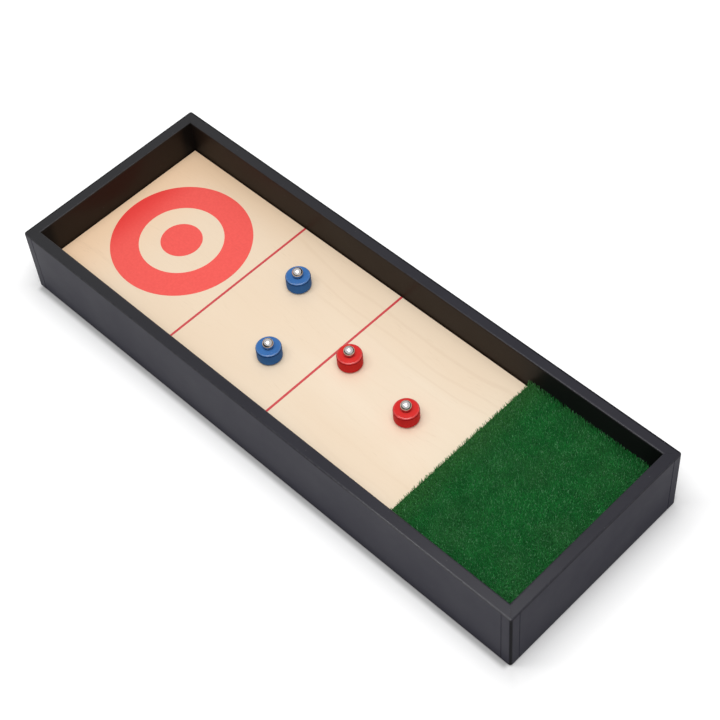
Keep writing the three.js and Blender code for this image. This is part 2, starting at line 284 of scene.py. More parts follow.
def outline(corners, steps=6, hold=0.2):
    """A closed outline through corners (u, v, radius), and how much it turns at each point.

    Round a corner of half angle h the outline follows an arc whose centre lies radius / sin h
    along the bisector and which touches the sides radius / tan h from the corner. One more point,
    `hold` outside each end of the arc, keeps the flat parts flat under smooth shading. The turn is
    0 on straight parts, and rises towards 1 and falls again along an arc, as a sine over WEAR_RAMP
    of half a turn.
    """
    places, turns = [], []
    sweep = np.linspace(0, 1, steps + 1)[:, None]
    ramp = np.sin(math.pi * np.linspace(*WEAR_RAMP, steps + 1))
    plan = np.array(corners, float)
    for before, here, after in zip(np.roll(plan, 1, 0), plan, np.roll(plan, -1, 0)):
        a = (before - here)[:2] / np.linalg.norm((before - here)[:2])
        b = (after - here)[:2] / np.linalg.norm((after - here)[:2])
        radius = here[2]
        if not radius:
            places.append(here[None, :2])
            turns.append(np.zeros(1))
            continue
        half = math.acos(float(a @ b)) / 2
        touch = radius / math.tan(half)
        centre = here[:2] + (a + b) / np.linalg.norm(a + b) * radius / math.sin(half)
        start = here[:2] + a * touch - centre
        turn = math.copysign(math.pi - 2 * half, b[0] * a[1] - b[1] * a[0])
        cos, sin = np.cos(turn * sweep), np.sin(turn * sweep)
        bend = centre + np.hstack([start[0] * cos - start[1] * sin, start[0] * sin + start[1] * cos])
        places += [(here[:2] + a * (touch + hold))[None], bend, (here[:2] + b * (touch + hold))[None]]
        turns += [np.zeros(1), ramp, np.zeros(1)]
    return np.concatenate(places), np.concatenate(turns)


def turned(profile, sides, x=0.0, y=0.0, z=0.0):
    """Points of a profile (radius, height) turned about a vertical axis: (r cos a, r sin a, height)."""
    angle = np.linspace(0, 2 * math.pi, sides, endpoint=False)
    radius, height = profile[:, 0][:, None], profile[:, 1][:, None]
    level = np.broadcast_to(height, (len(profile), sides))
    return np.stack([x + radius * np.cos(angle), y + radius * np.sin(angle), z + level], axis=-1)


def arc(centre, radius, start, stop, steps):
    """Points (radius cos a, centre + radius sin a) as (radius, height), for angles a in degrees."""
    angle = np.radians(np.linspace(start, stop, steps + 1))
    return np.stack([radius * np.cos(angle), centre + radius * np.sin(angle)], axis=-1)


def turned_piece(name, profile, sides, place, marks=None, loop=False):
    """A turned solid; its profile runs up the outside, from axis to axis or as a closed loop."""
    points = turned(profile, sides, *place)
    round_marks = {mark: np.repeat(values, sides) for mark, values in (marks or {}).items()}
    return shell(name, points.reshape(-1, 3), closed_grid(len(profile), sides, loop), marks=round_marks)


# Rails

def rail_profile():
    """The rail's cross section as (distance in from the outer face, height), counter-clockwise."""
    inner, top = RAIL_THICKNESS, TRAY_HEIGHT
    return outline([
        (0, RAIL_FOOT, RAIL_FOOT_ROUND),
        (inner - REBATE_DEPTH, RAIL_FOOT, 0),
        (inner - REBATE_DEPTH, REBATE_TOP, 0),
        (inner, REBATE_TOP, LIP_ROUND),
        (inner, GROOVE_FLOOR, LIP_ROUND),
        (inner - GROOVE_DEPTH, GROOVE_FLOOR, 0),
        (inner - GROOVE_DEPTH, GROOVE_TOP, 0),
        (inner, GROOVE_TOP, LIP_ROUND),
        (inner, top, RAIL_TOP_ROUND),
        # A point that bounds the painted shade along the outer top edge of the back and house end rails.
        (RAIL_TOP_ROUND + PAINTED_SHADE_EDGE, top, 0),
        (0, top, RAIL_TOP_ROUND),
    ])


def rail_stations(half):
    """Places along a rail between its corner rounds, close together across the two quirks."""
    middle = np.linspace(0, half - QUIRK_FROM_CORNER - QUIRK_CLEARANCE, 14)
    quirk = half - QUIRK_FROM_CORNER + np.linspace(-QUIRK_SPAN, QUIRK_SPAN, 17) * QUIRK_HALF_WIDTH
    end = np.linspace(half - MITRE_ZONE, half - CORNER_ROUND, 6)
    places = np.concatenate([middle, quirk, end])
    return np.concatenate([-places[:0:-1], places])


def rail(name, length, reach, quarter_turns):
    """A rail from mitre to mitre, its outer face `reach` from the tray's middle.

    A profile point at depth d follows the tray's rounded outline moved inwards by d: straight to
    max(R, d) from the corner, then round the corner's centre at radius R - d for an eighth of a
    turn, or to a point on the mitre where d is more than the corner's radius R. Across a quirk the
    depth is at least D (1 + cos(pi u)) / 2, with u running from -1 to 1 over the groove.

    Four marks go with the points. wear is high on rounded edges. coat is how strongly the clear
    coat shows: most on the top, less on the outer face and least on the inner face, but not on the
    outer top edge of the back and house end rails, nor on the vertical corners, nor in the inner
    corners; where it is nought the paint is darkened as painted shade. The front rail's outer
    edge has a glint towards the turf. nook is 1 near the ends, where the inner faces get painted
    shade. lie is the place as (along, inwards, up).
    """
    profile, turn = rail_profile()
    depth, height = profile[None, :, 0], profile[None, :, 1]
    half = (length - GLUE_LINE) / 2
    x = rail_stations(half)[:, None]
    u = np.clip((np.abs(x) - (half - QUIRK_FROM_CORNER)) / QUIRK_HALF_WIDTH, -1, 1)
    groove = QUIRK_DEPTH * (1 + np.cos(math.pi * u)) / 2
    ends = half - np.maximum(CORNER_ROUND, depth)
    straight = np.stack(np.broadcast_arrays(
        np.clip(x, -ends, ends), np.maximum(depth, groove) - reach, height), axis=-1)
    eighth = np.radians(np.linspace(0, 45, CORNER_STEPS + 1))[1:, None]
    round_left = np.maximum(CORNER_ROUND - depth, 0)
    corner_x = ends + round_left * np.sin(eighth)
    corner_y = depth + round_left * (1 - np.cos(eighth)) - reach
    corner = np.stack(np.broadcast_arrays(corner_x, corner_y, height), axis=-1)
    mirrored = corner[::-1] * np.array([-1, 1, 1])
    grid = np.concatenate([mirrored, straight, corner])
    rows, columns = grid.shape[:2]
    # The vertical corners fade out of the coat, which makes them near black as painted shade.
    ramp = np.minimum(np.arange(1, CORNER_STEPS + 1) / GLOSS_FADE_STEPS, 1)
    bend = np.concatenate([ramp[::-1], np.zeros(len(x)), ramp])[:, None]
    wear = np.broadcast_to(turn, (rows, columns))
    top = np.clip((height - TRAY_HEIGHT) / RAIL_TOP_ROUND + 1, 0, 1)
    outer = np.clip(1 - depth / RAIL_TOP_ROUND, 0, 1) * (1 - bend)
    # The outer top edge of the back and house end rails loses its coat, which makes it near black as
    # painted shade.
    if name in ("back_rail", "house_end_rail"):
        top = np.where(depth < RAIL_TOP_ROUND + PAINTED_SHADE_EDGE / 2, 0, top)
        outer = outer ** BACK_GLOSS_POWER
    inner = np.clip((depth - RAIL_THICKNESS) / RAIL_TOP_ROUND + 1, 0, 1)
    gloss = SIDE_GLOSS if name in ("front_rail", "back_rail") else END_GLOSS
    # nook marks the rails' ends, where the inner corners get painted shade and less coat.
    nook = np.clip((np.abs(grid[..., 0]) - half + NOOK_START) / NOOK_DEPTH, 0, 1)
    coat = np.maximum(TOP_GLOSS * top, np.maximum(gloss * outer, INNER_GLOSS * inner * (1 - nook)))
    if name == "front_rail":
        glint = turn * (depth < RAIL_TOP_ROUND) * (height > TRAY_HEIGHT - RAIL_TOP_ROUND)
        coat = np.maximum(coat, glint * np.clip((grid[..., 0] - GLINT_START) / GLINT_RUN, 0, 1))
    lie = np.stack(np.broadcast_arrays(grid[..., 0], depth, height), axis=-1).reshape(-1, 3) * MM
    cos, sin = (1, 0, -1, 0)[quarter_turns], (0, 1, 0, -1)[quarter_turns]
    points = grid.reshape(-1, 3)
    points = points @ np.array([[cos, sin, 0], [-sin, cos, 0], [0, 0, 1]], float)
    marks = {"wear": wear.reshape(-1), "coat": coat.reshape(-1), "nook": nook.reshape(-1), "lie": lie}
    piece = shell(f"{name}_painted", points, closed_grid(rows, columns), end_faces(rows, columns), marks)
    dress(piece, "tray", "black_paint", BLACK_PAINT, name)


# Lane markings

def printed_disc(node, radius, inner_radius=0.0):
    """A film of ink with softened rims, turned about the house's middle."""
    corners = [(radius, 0, PRINT_ROUND), (radius, PRINT_THICKNESS, PRINT_ROUND)]
    if inner_radius:
        corners += [(inner_radius, PRINT_THICKNESS, PRINT_ROUND), (inner_radius, 0, PRINT_ROUND)]
    else:
        corners += [(0, PRINT_THICKNESS, 0), (0, 0, 0)]
    profile, _ = outline(corners, 4, PRINT_ROUND)
    if not inner_radius:
        profile = np.roll(profile, 1, axis=0)
    piece = turned_piece(f"{node}_film", profile, PRINT_SIDES, (HOUSE_X, HOUSE_Y, LANE_TOP),
                         {"dense": np.zeros(len(profile))}, loop=bool(inner_radius))
    dress(piece, "tray", "red_ink", RED_INK, node)


def printed_line(node, x):
    """A film of ink carried straight across the lane: one soft-edged section at 60 places."""
    left, right = x - LINE_WIDTH / 2, x + LINE_WIDTH / 2
    film_top = LANE_TOP + PRINT_THICKNESS
    section, _ = outline([
        (left, film_top, PRINT_ROUND), (left, LANE_TOP, PRINT_ROUND),
        (right, LANE_TOP, PRINT_ROUND), (right, film_top, PRINT_ROUND)], 4, PRINT_ROUND)
    reach = LANE_WIDTH / 2 - LANE_SHADOW_GAP - PRINT_MARGIN
    y = np.linspace(reach, -reach, 60)[:, None]
    grid = np.stack(np.broadcast_arrays(section[None, :, 0], y, section[None, :, 1]), axis=-1)
    rows, columns = grid.shape[:2]
    piece = shell(f"{node}_film", grid.reshape(-1, 3), closed_grid(rows, columns),
                  end_faces(rows, columns), {"dense": np.ones(rows * columns)})
    dress(piece, "tray", "red_ink", RED_INK, node)


# Turf

def fibres(random, count, y_low, y_high):
    """Thin three-sided spikes that lean and curl.

    At share t of its length a fibre's middle is root + lean t^1.6, at height foot + rise t, and its
    width falls as FIBRE_TAPER says before it closes to a tip. Roots sit on a shaken grid. The first
    row spills over the lane in tufts that follow a wandering sine along the edge, and the mat
    swells by the square of its nearness to the back rail.
    """
    length = LANE_LENGTH / 2 - TURF_START
    across = y_high - y_low
    columns = int(math.sqrt(count * length / across))
    rows = count // columns
    plan = np.meshgrid(np.arange(columns), np.arange(rows), indexing="ij")
    cell = np.stack(plan, axis=-1).reshape(-1, 2)
    share = (cell + random.uniform(0, 1, cell.shape)) / (columns, rows)
    first_root = np.array([TURF_START + TURF_MARGIN, y_low])
    root = first_root + share * (length - ROOT_END_MARGIN, across)
    number = len(root)
    heading = random.uniform(0, 2 * math.pi, number)
    reach = random.gamma(*FIBRE_REACH, number)
    lean = np.stack([np.cos(heading), np.sin(heading)], axis=-1) * reach[:, None]
    first = np.clip(1 - (root[:, 0] - TURF_START) / SPILL_ROW, 0, 1)
    phase = TUFT_RATE * root[:, 1]
    for size, rate, start in TUFT_WANDER:
        phase = phase + size * np.sin(rate * root[:, 1] + start)
    tuft = TUFT_LEAST + (1 - TUFT_LEAST) * (0.5 + 0.5 * np.sin(phase)) ** 2
    lean[:, 0] -= first * SPILL_LEAN * SPILL * random.uniform(SPILL_LEAST, 1, number) * tuft
    lean[:, 1] += first * SPILL_SWAY * np.cos(phase)
    low = np.array([TURF_START - SPILL, TURF_MARGIN - LANE_WIDTH / 2])
    high = np.array([LANE_LENGTH / 2, LANE_WIDTH / 2]) - TURF_MARGIN
    root = np.clip(root, low + (SPILL + 0.1, TURF_MARGIN), high - TURF_MARGIN)
    lean = np.clip(root + lean, low, high) - root
    foot = THATCH_TOP - ROOT_DEPTH
    pressed = np.clip((root[:, 1] - LANE_WIDTH / 2) / SWELL_WIDTH + 1, 0, 1)
    rise = (TURF_TOP - foot) * random.uniform(*FIBRE_HEIGHTS, number)
    rise = rise - FIBRE_DROOP * reach ** 2 + SWELL * pressed ** 2
    width = random.uniform(*FIBRE_WIDTHS, number) * (1 + SPILL_WIDER * first)
    facing = random.uniform(0, 2 * math.pi, number)
    angle = facing[:, None] + FIBRE_CORNERS
    corner = np.stack([np.cos(angle), np.sin(angle)], axis=-1)
    sides = len(FIBRE_CORNERS)
    rings = []
    for share_up, narrow in FIBRE_TAPER:
        middle = root + lean * share_up ** FIBRE_CURVE
        ring = middle[:, None, :] + (width * narrow / 2)[:, None, None] * corner
        level = np.repeat((foot + rise * share_up)[:, None], sides, axis=1)
        rings.append(np.concatenate([ring, level[..., None]], axis=-1))
    tip = np.concatenate([root + lean, (foot + rise)[:, None]], axis=-1)[:, None, :]
    points = np.concatenate([*rings, np.repeat(tip, sides, axis=1)], axis=1)
    levels = [share_up for share_up, _ in FIBRE_TAPER] + [1.0]
    each = len(levels) * sides
    faces = closed_grid(len(levels), sides)[None] + each * np.arange(number)[:, None, None]
    foot_faces = np.array([2, 1, 0, 2])[None] + each * np.arange(number)[:, None]
    faces = np.concatenate([faces.reshape(-1, 4), foot_faces])
    tone = np.repeat(random.uniform(0, 1, number) * (1 - SPILL_DARKER * (first > 0)), each)
    up = np.tile(np.repeat(levels, sides), number)
    return points.reshape(-1, 3), faces, tone, up


def thatch(random, y_low, y_high):
    """The matted foot of the pile: a loaf whose top is THATCH_TOP plus waves and a fine shake.

    Between slices it reaches THATCH_OVERLAP under its neighbour, and dips there by the square of
    its nearness to that end, so that no seam shows.
    """
    inner_low = y_low > 1 - LANE_WIDTH / 2
    inner_high = y_high < LANE_WIDTH / 2 - 1
    y_low = y_low - THATCH_OVERLAP * inner_low
    y_high = y_high + THATCH_OVERLAP * inner_high
    x = np.linspace(TURF_START + THATCH_SETBACK, LANE_LENGTH / 2 - TURF_MARGIN, 64)[:, None]
    y = np.linspace(y_high, y_low, 36)[None, :]
    wave = np.sin(x * 0.9 + 2 * np.sin(y * 0.21)) * np.sin(y * 1.1 + x * 0.13)
    top = THATCH_TOP + THATCH_WAVE * wave
    top = top + random.uniform(-THATCH_SHAKE, THATCH_SHAKE, top.shape)
    near_low = np.clip(1 - (y - y_low) / (2 * THATCH_OVERLAP), 0, 1) * inner_low
    near_high = np.clip(1 - (y_high - y) / (2 * THATCH_OVERLAP), 0, 1) * inner_high
    top = top - THATCH_DIP * (near_low + near_high) ** 2
    top_points = np.stack(np.broadcast_arrays(x, y, top), axis=-1)
    foot_low, foot_high = top_points[:, -1:].copy(), top_points[:, :1].copy()
    foot_low[..., 2], foot_high[..., 2] = THATCH_FOOT, THATCH_FOOT
    grid = np.concatenate([foot_low, foot_high, top_points], axis=1)
    rows, columns = grid.shape[:2]
    return grid.reshape(-1, 3), closed_grid(rows, columns), end_faces(rows, columns)


def turf_slice(index):
    """One slice of the mat: its thatch and the fibres that grow out of it."""
    random = np.random.default_rng(TURF_SEED + index)
    whole = LANE_WIDTH - 2 * TURF_SIDE_GAP
    width = whole / TURF_SLICES
    y_low = index * width - whole / 2
    points, faces, tone, up = fibres(random, FIBRES_PER_SLICE, y_low, y_low + width)
    bed, bed_faces, bed_ends = thatch(random, y_low, y_low + width)
    ends = [end + len(points) for end in bed_ends]
    faces = np.concatenate([faces, bed_faces + len(points)])
    tone = np.concatenate([tone, random.uniform(*THATCH_TONES, len(bed))])
    up = np.concatenate([up, np.zeros(len(bed))])
    points = np.concatenate([points, bed]) + (0, 0, LANE_TOP)
    node = f"turf_pile_{index + 1}"
    piece = shell(f"{node}_fibres", points, faces, ends, {"tone": tone, "up": up}, crease=180)
    dress(piece, "tray", "turf", TURF, node)


# Threads, screws and pads

def thread(z, angle, core, depth, pitch):
    """Radius of a threaded shank: core + depth times a rounded ridge that climbs one pitch per turn."""
    ridge = 0.5 + 0.5 * np.cos(2 * math.pi * (z / pitch - angle / (2 * math.pi)))
    return core + depth * ridge ** 2


def box_foot(node):
    """The middle and the lowest height of a node's box, in millimetres."""
    low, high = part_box(node)
    half = PER_METRE / 2
    return half * (low.x + high.x), half * (low.y + high.y), PER_METRE * low.z


def screw(number):
    """A countersunk screw, head down: cross recess in the head, cone, threaded shank and point.

    The recess is as deep as the smaller of |x| and |y| is short of the slot's half width, out to
    the ends of the arms.
    """
    node = f"base_screw_{number}"
    x0, y0, foot = box_foot(node)
    angle = np.linspace(0, 2 * math.pi, 48, endpoint=False)[None, :]
    face = np.linspace(0, SCREW_HEAD_RADIUS - SCREW_EDGE[0], 20)[:, None]
    slot = np.minimum(np.abs(face * np.cos(angle)), np.abs(face * np.sin(angle)))
    arm = np.maximum(np.abs(face * np.cos(angle)), np.abs(face * np.sin(angle)))
    recess = RECESS_DEPTH * np.clip((RECESS_HALF_WIDTH - slot) / RECESS_SIDE_SLOPE, 0, 1)
    recess = recess * np.clip((RECESS_ARM - arm) / RECESS_END_SLOPE, 0, 1)
    shank = np.linspace(SCREW_HEAD_HEIGHT, SCREW_LENGTH, 90)[:, None]
    taper = np.clip((SCREW_LENGTH - shank) / SCREW_POINT, 0, 1) ** SCREW_BLUNTNESS
    grow = np.clip((shank - SCREW_HEAD_HEIGHT - THREAD_START) / THREAD_RUN_IN, 0, 1)
    radius = taper * thread(shank, angle, SCREW_CORE_RADIUS, SCREW_THREAD * grow, SCREW_PITCH)
    rim = np.array([*((SCREW_HEAD_RADIUS, level) for level in SCREW_EDGE), SCREW_NECK])
    radii = np.concatenate([face + 0 * angle, rim[:, :1] + 0 * angle, radius])
    heights = np.concatenate([recess, rim[:, 1:] + 0 * angle, shank + 0 * angle])
    grid = np.stack([x0 + radii * np.cos(angle), y0 + radii * np.sin(angle), foot + heights], axis=-1)
    piece = shell(f"{node}_threaded", grid.reshape(-1, 3), closed_grid(*grid.shape[:2]), crease=50)
    dress(piece, "tray", "plain_steel", ZINC_STEEL, node)


def pad(number):
    """A felt disc with a soft rim, turned about its axis.

    Its radius falls short by PAD_WAVER (1 + sin(7a + number) sin(3a)), as cut felt wavers.
    """
    node = f"felt_pad_{number}"
    x0, y0, _ = box_foot(node)
    rim, _ = outline([(PAD_RADIUS, 0, PAD_ROUND), (PAD_RADIUS, PAD_HEIGHT, PAD_ROUND),
                      (0, PAD_HEIGHT, 0), (0, 0, 0)])
    points = turned(np.roll(rim, 1, axis=0), PAD_SIDES)
    angle = np.linspace(0, 2 * math.pi, PAD_SIDES, endpoint=False)
    waver = 1 - PAD_WAVER * (1 + np.sin(7 * angle + number) * np.sin(3 * angle))
    points = points * np.stack([waver, waver, np.ones(PAD_SIDES)], axis=-1) + (x0, y0, 0)
    piece = shell(f"{node}_cut", points.reshape(-1, 3), closed_grid(*points.shape[:2]))
    dress(piece, "tray", "felt", FELT, node)


# Stones

def stone_body(name, x, y):
    """Disc turned from wood: rounded rims, round seat for the knob, stud hole and cup bore.

    The profile runs from the axis in the cup's bore, round the outside, and down through the seat
    to the axis in the stud's hole. Two corners inside the wood only set the direction in which the
    outline leaves its first and last corners, and their points are dropped.
    """
    seat = KNOB_RADIUS + KNOB_SEAT_GAP
    mouth = math.degrees(math.asin((STONE_TOP - KNOB_CENTRE) / seat))
    foot = -math.degrees(math.acos(STUD_HOLE_RADIUS / seat))
    bore = CUP_RADIUS + CUP_FIT
    mouth_radius = seat * math.cos(math.radians(mouth))
    rim, turn = outline([
        (bore, STONE_STANDOFF, SEAT_LIP_ROUND),
        (STONE_RADIUS, STONE_STANDOFF, STONE_FOOT_ROUND),
        (STONE_RADIUS, STONE_TOP, STONE_TOP_ROUND),
        (mouth_radius, STONE_TOP, SEAT_LIP_ROUND),
        (mouth_radius - 0.6, STONE_TOP - 0.5, 0),
        (bore - 0.1, CUP_TOP, 0),
    ], steps=10)
    rim, turn = rim[:-2], turn[:-2]
    bore_end = [[0, CUP_TOP + CUP_FIT], [bore, CUP_TOP + CUP_FIT]]
    hole_end = [[STUD_HOLE_RADIUS, STUD_FLOOR - STUD_END_GAP], [0, STUD_FLOOR - STUD_END_GAP]]
    hollow = np.concatenate([arc(KNOB_CENTRE, seat, mouth - 4, foot, SEAT_STEPS), hole_end])
    profile = np.concatenate([bore_end, rim, hollow])
    wear = np.concatenate([np.zeros(len(bore_end)), turn, np.zeros(len(hollow))])
    piece = turned_piece(f"{name}_lacquered", profile, 112, (x, y, LANE_TOP), {"wear": wear})
    slot, material = ("blue_lacquer", BLUE_LACQUER) if "blue" in name else ("red_lacquer", RED_LACQUER)
    dress(piece, name, slot, material, f"{name}_body")


def ball(name, body, node, centre, radius, place, hole=0.0, hole_top=0.0):
    """A steel ball: half a circle turned about its axis, drilled from below where a stud goes in."""
    start = -math.degrees(math.acos(hole / radius)) if hole else -90
    profile = arc(centre, radius, start, 90, 40)
    if hole:
        profile = np.concatenate([[[0, hole_top], [hole, hole_top]], profile])
    piece = turned_piece(name, profile, 72, place)
    dress(piece, body, "polished_steel", POLISHED_STEEL, node)


def stud(name, place):
    """A threaded stud: a shank whose radius carries the thread, closed flat at both ends."""
    z = np.linspace(STUD_FLOOR, STUD_TOP, 80)[:, None]
    angle = np.linspace(0, 2 * math.pi, 32, endpoint=False)[None, :]
    radius = thread(z, angle, STUD_RADIUS - STUD_THREAD, STUD_THREAD, STUD_PITCH)
    radius = np.concatenate([0 * angle, radius, 0 * angle])
    level = np.concatenate([z[:1], z, z[-1:]]) + 0 * angle
    grid = np.stack([radius * np.cos(angle), radius * np.sin(angle), level], axis=-1) + place
    node = f"{name}_knob_stud"
    piece = shell(f"{node}_threaded", grid.reshape(-1, 3), closed_grid(*grid.shape[:2]), crease=50)
    dress(piece, name, "plain_steel", ZINC_STEEL, node)


def cup(name, place):
    """The moulded cup: a round cavity that closes below the ball's middle, in a plug with soft rims."""
    mouth = -math.degrees(math.asin((GLIDE_CENTRE - CUP_FOOT) / CUP_CAVITY))
    edge = CUP_CAVITY * math.cos(math.radians(mouth))
    rim, _ = outline([(edge, CUP_FOOT, 0), (CUP_RADIUS, CUP_FOOT, CUP_FOOT_ROUND),
                      (CUP_RADIUS, CUP_TOP, CUP_TOP_ROUND), (0, CUP_TOP, 0)])
    profile = np.concatenate([arc(GLIDE_CENTRE, CUP_CAVITY, 90, mouth, 24)[:-1], rim])
    piece = turned_piece(f"{name}_ball_cup_moulded", profile, 64, place)
    dress(piece, name, "nylon", NYLON, f"{name}_ball_cup")


def stone(name, x, y):
    """One stone: lacquered body, steel knob on its stud, and the cup with the ball it rolls on."""
    place = (x, y, LANE_TOP)
    stone_body(name, x, y)
    ball(f"{name}_knob_polished", name, f"{name}_knob", KNOB_CENTRE, KNOB_RADIUS, place,
         STUD_HOLE_RADIUS, STUD_TOP + STUD_END_GAP)
    ball(f"{name}_glide_ball_polished", f"{name}_ball", f"{name}_glide_ball", GLIDE_CENTRE,
         GLIDE_RADIUS, place)
    stud(name, place)
    cup(name, place)


# Shader groups

def give(tree, socket, value):
    """Links an input to another node's output, or sets it to a plain value."""
    if isinstance(value, bpy.types.NodeSocket):
        tree.links.new(value, socket)
    else:
        socket.default_value = value


def put(tree, kind, feeds=None, **settings):
    """A node with its settings, each input fed by a value or by another node's output."""
    made = tree.nodes.new(kind)
    for key, value in settings.items():
        setattr(made, key, value)
    for key, value in (feeds or {}).items():
        give(tree, made.inputs[key], value)
    return made


def use(tree, group, **values):
    """The outputs of a placed shader group, with its inputs set or linked."""
    return put(tree, "ShaderNodeGroup", values, node_tree=group).outputs


def maths(tree, operation, *values, clamp=False):
    """The output of a Math node on up to three numbers or outputs."""
    made = put(tree, "ShaderNodeMath", dict(enumerate(values)), operation=operation, use_clamp=clamp)
    return made.outputs[0]


def times(tree, a, b):
    """The product of two numbers or outputs."""
    return maths(tree, "MULTIPLY", a, b)


def spread(tree, value, low, high, to_low=0.0, to_high=1.0):
    """value mapped smoothly from low..high to to_low..to_high."""
    made = put(tree, "ShaderNodeMapRange", {
        "Value": value, "From Min": low, "From Max": high, "To Min": to_low, "To Max": to_high,
    }, interpolation_type="SMOOTHSTEP")
    return made.outputs["Result"]


def blend(tree, factor, a, b):
    """Colour a turned into b by factor."""
    return put(tree, "ShaderNodeMix", {0: factor, 6: a, 7: b}, data_type="RGBA").outputs[2]


def layered(tree, tone, *layers):
    """A colour with others laid over it in turn; a layer is (how much of it shows, its colour)."""
    for factor, colour in layers:
        tone = blend(tree, factor, tone, colour)
    return tone


def noise(tree, vector, scale, detail=3.0, roughness=0.5, distortion=0.0):
    """The value of a noise texture."""
    made = put(tree, "ShaderNodeTexNoise", {
        "Vector": vector, "Scale": scale, "Detail": detail, "Roughness": roughness,
        "Distortion": distortion})
    return made.outputs["Fac"]


def stretched(tree, vector, scale):
    """A vector scaled by a different number along each axis."""
    return put(tree, "ShaderNodeMapping", {"Vector": vector, "Scale": scale}).outputs["Vector"]


def axes(tree, vector):
    """A vector's X, Y and Z."""
    return put(tree, "ShaderNodeSeparateXYZ", {"Vector": vector}).outputs


def mark(tree, name, kind="Fac"):
    """A value that the mesh carries."""
    made = put(tree, "ShaderNodeAttribute", attribute_name=name, attribute_type="GEOMETRY")
    return made.outputs[kind]


def bumped(tree, height, strength, distance):
    """A normal from a height."""
    made = put(tree, "ShaderNodeBump", {"Height": height, "Strength": strength, "Distance": distance})
    return made.outputs[0]


def effect(name, inputs, outputs):
    """An empty shader group with named inputs (name: kind or starting value) and named outputs."""
    tree = bpy.data.node_groups.new(name, "ShaderNodeTree")
    for key, start in inputs.items():
        kind = "NodeSocketVector" if start is None else "NodeSocketFloat"
        socket = tree.interface.new_socket(key, in_out="INPUT", socket_type=kind)
        if start is not None:
            socket.default_value = start
    for key in outputs:
        tree.interface.new_socket(key, in_out="OUTPUT", socket_type="NodeSocketFloat")
    entry, leave = tree.nodes.new("NodeGroupInput"), tree.nodes.new("NodeGroupOutput")
    return tree, entry.outputs, leave.inputs


def wood_grain_group():
    """Grain that runs along X: broad figure, fine streaks, growth lines, short dark pores, height."""
    outputs = ["Figure", "Streaks", "Lines", "Pores", "Height"]
    tree, given, out = effect("wood_grain", {"Vector": None, "Wander": 0.5}, outputs)
    sway = noise(tree, stretched(tree, given["Vector"], (5, 14, 14)), 1.0, 2.0)
    shift = times(tree, maths(tree, "SUBTRACT", sway, 0.5), times(tree, given["Wander"], 0.05))
    sideways = put(tree, "ShaderNodeCombineXYZ", {"Y": shift}).outputs[0]
    moved = put(tree, "ShaderNodeVectorMath", {0: given["Vector"], 1: sideways}).outputs[0]
    rings = put(tree, "ShaderNodeTexWave", {
        "Vector": stretched(tree, moved, (0.9, 17, 17)), "Scale": 1.0, "Distortion": 4.0, "Detail": 2.0,
        "Detail Scale": 1.2, "Detail Roughness": 0.6}, wave_type="BANDS", bands_direction="Y")
    grouped = noise(tree, stretched(tree, moved, (3.5, 16, 16)), 1.0, 2.0)
    lines = times(tree, spread(tree, rings.outputs["Fac"], 0.86, 1.0), spread(tree, grouped, 0.5, 0.72))
    figure = noise(tree, stretched(tree, moved, (3.2, 24, 24)), 1.0, 4.0, 0.55)
    streaks = noise(tree, stretched(tree, moved, (14, 620, 620)), 1.0, 4.0, 0.6)
    dashes = noise(tree, stretched(tree, moved, (95, 1500, 1500)), 1.0, 1.0, 0.4)
    bunch = noise(tree, stretched(tree, moved, (9, 60, 60)), 1.0, 2.0)
    pores = times(tree, spread(tree, dashes, 0.63, 0.72), spread(tree, bunch, 0.42, 0.68))
    height = maths(tree, "SUBTRACT", times(tree, streaks, 0.5), pores)
    for key, value in zip(outputs, (figure, streaks, lines, pores, height)):
        tree.links.new(value, out[key])
    return tree


def sprayed_skin_group():
    """Sprayed paint: cloudy tone, fine orange peel as height, and sparse pale dust."""
    outputs = ["Cloud", "Height", "Dust"]
    tree, given, out = effect("sprayed_skin", {"Vector": None, "Peel": 900.0}, outputs)
    cloud = noise(tree, given["Vector"], 16.0, 4.0, 0.55)
    peel = noise(tree, given["Vector"], given["Peel"], 2.0, 0.45)
    cells = put(tree, "ShaderNodeTexVoronoi", {"Vector": given["Vector"], "Scale": 260.0})
    pick = put(tree, "ShaderNodeSeparateColor", {"Color": cells.outputs["Color"]}).outputs["Red"]
    dot = spread(tree, cells.outputs["Distance"], 0.05, 0.11, 1.0, 0.0)
    dust = times(tree, dot, spread(tree, pick, 0.9, 0.96))
    for key, value in zip(outputs, (cloud, peel, dust)):
        tree.links.new(value, out[key])
    return tree


def edge_wear_group():
    """Where handling has polished an edge: the edge mark, broken up by noise."""
    inputs = {"Edge": 0.0, "Vector": None, "Break": 140.0, "Start": 0.55}
    tree, given, out = effect("edge_wear", inputs, ["Worn"])
    ragged = noise(tree, given["Vector"], given["Break"], 4.0, 0.6)
    level = times(tree, given["Edge"], maths(tree, "MULTIPLY_ADD", ragged, 0.9, 0.45))
    worn = spread(tree, level, given["Start"], maths(tree, "ADD", given["Start"], 0.35))
    tree.links.new(worn, out["Worn"])
    return tree


# Finishes

def finish(name):
    """A new material: its tree, its Principled shader and its object coordinates."""
    material = bpy.data.materials.new(name)
    material.use_nodes = True
    tree = material.node_tree
    shader = tree.nodes["Principled BSDF"]
    where = tree.nodes.new("ShaderNodeTexCoord").outputs["Object"]
    return material, tree, shader, where


def feed(tree, shader, **values):
    """Sets or links the shader's inputs; an underscore in a key stands for a space."""
    for key, value in values.items():
        give(tree, shader.inputs[key.replace("_", " ")], value)


